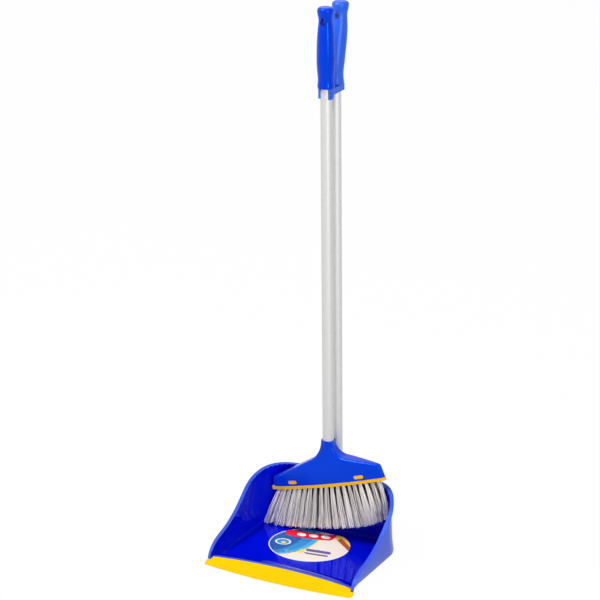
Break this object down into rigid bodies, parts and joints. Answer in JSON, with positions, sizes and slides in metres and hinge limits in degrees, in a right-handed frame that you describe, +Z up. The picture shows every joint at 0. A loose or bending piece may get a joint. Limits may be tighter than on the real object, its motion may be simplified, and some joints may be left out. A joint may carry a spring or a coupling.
{
  "type": "dust pan and broom set",
  "caption": "Long-handled dust pan with a soft lip and comb teeth, and an angled broom that hangs in a clip on the pan's tube.",
  "frame": {"origin": "on the floor, in the middle of the pan's foot", "axes": "+Z up along the handles, -Y out of the pan's open mouth, +X to the right-hand side of the mouth"},
  "size_m": [0.294, 0.2757, 0.9763],
  "materials": {
    "pan_blue": "smooth glossy moulded plastic",
    "handle_blue": "smooth satin moulded plastic",
    "lip_yellow": "soft flexible plastic",
    "flange_yellow": "moulded plastic",
    "bristle_grey": "bundles of fine plastic filament",
    "tube_metal": "satin drawn tube",
    "screw_plastic": "plain moulded plastic",
    "anchor_wire": "flat wire",
    "sticker_film": "printed film"
  },
  "bodies": {
    "pan": {"pan_body": "pan_blue", "pan_lip": "lip_yellow", "floor_sticker": "sticker_film", "pan_tube": "tube_metal", "pan_screw_end": "screw_plastic", "pan_grip": "handle_blue", "broom_clip": "handle_blue"},
    "broom": {"broom_head": "handle_blue", "bristle_block": "flange_yellow", "bristle_row_1": "bristle_grey", "bristle_row_2": "bristle_grey", "bristle_row_3": "bristle_grey", "bristle_row_4": "bristle_grey", "tuft_anchors": "anchor_wire", "broom_tube": "tube_metal", "broom_screw_end": "screw_plastic", "broom_grip": "handle_blue"}
  },
  "joints": [
    {"name": "broom_lift", "type": "slide", "parent": "pan", "child": "broom", "axis": [0, 0, 1], "range_m": [0, 0.25]}
  ]
}
